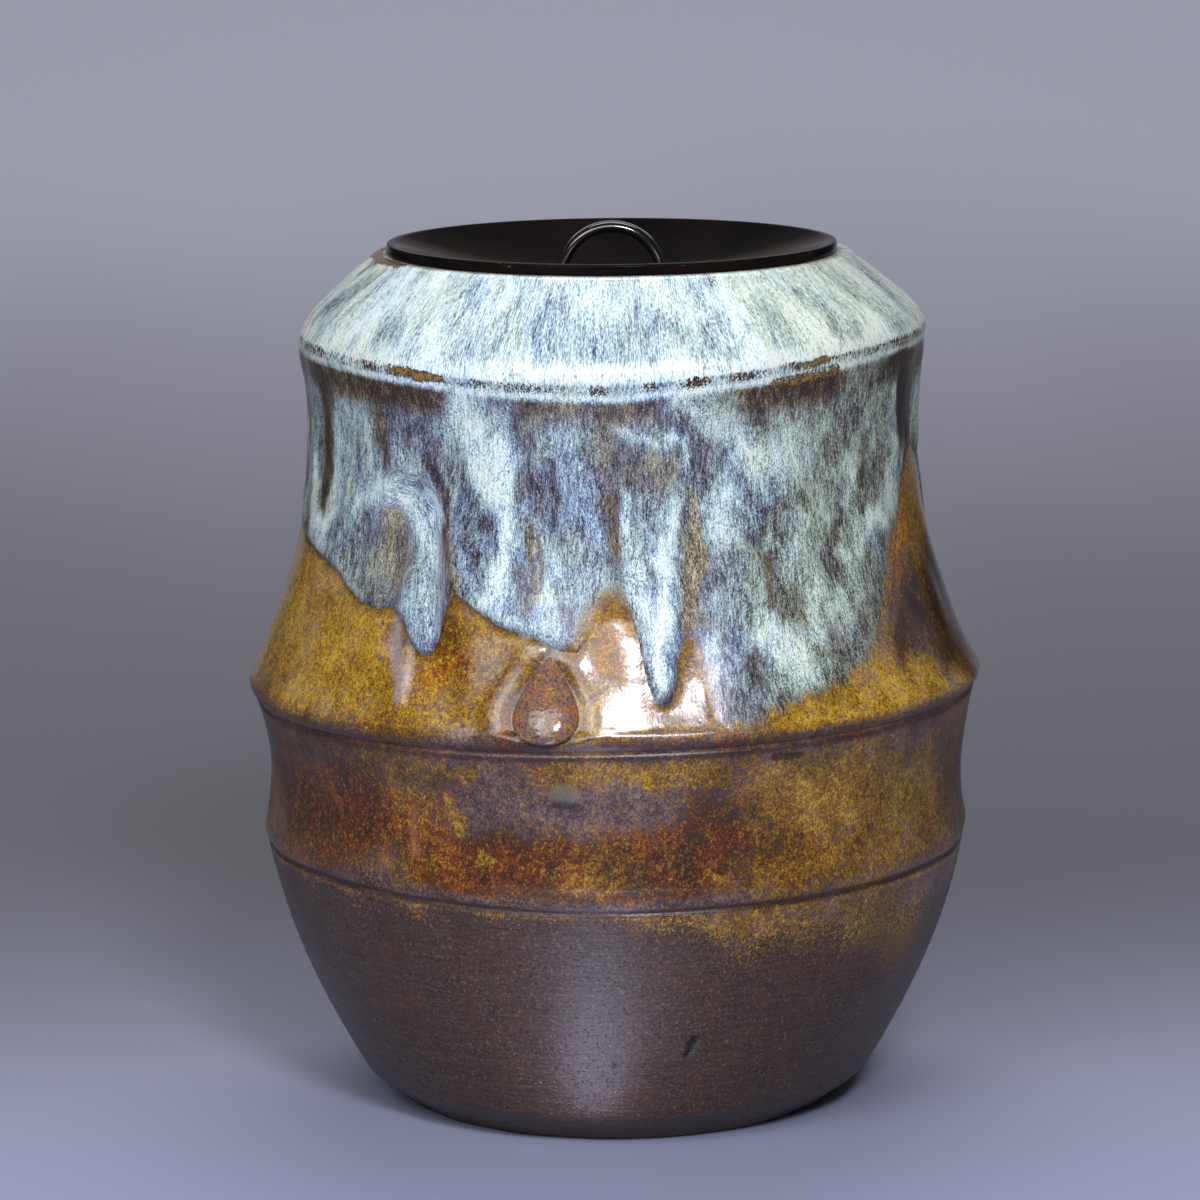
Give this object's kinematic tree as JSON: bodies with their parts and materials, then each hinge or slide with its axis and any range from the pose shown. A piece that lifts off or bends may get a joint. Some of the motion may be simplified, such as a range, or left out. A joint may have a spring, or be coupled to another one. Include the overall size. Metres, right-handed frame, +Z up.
{
  "type": "lidded water jar",
  "caption": "Wheel-thrown stoneware water jar with ridged walls, a pale glaze coat that has run down from the shoulder, and a dished black lacquer lid lifted by an arched knob.",
  "frame": {"origin": "on the table under the middle of the foot", "axes": "+Z up along the jar's axis, -Y towards the viewer of the picture, +X to the viewer's right, along the knob's arch"},
  "size_m": [0.1612, 0.1618, 0.1941],
  "materials": {
    "stoneware": "brown stoneware with a thin amber glaze above the low ridge, dull below it",
    "ash_glaze": "glossy pale blue and cream ash glaze with fine streaks",
    "amber_glaze": "glossy amber brown glaze",
    "lacquer": "polished black lacquer on turned wood, worn brown along the edge",
    "knob_lacquer": "polished black lacquer on bent wood strip"
  },
  "bodies": {
    "jar": {"jar_body": "stoneware", "glaze_coat": "ash_glaze", "glaze_drop": "amber_glaze"},
    "cover": {"lid": "lacquer", "knob_arch": "knob_lacquer"}
  },
  "joints": [
    {"name": "lid_lift", "type": "slide", "parent": "jar", "child": "cover", "axis": [0, 0, 1], "range_m": [0, 0.12]}
  ]
}
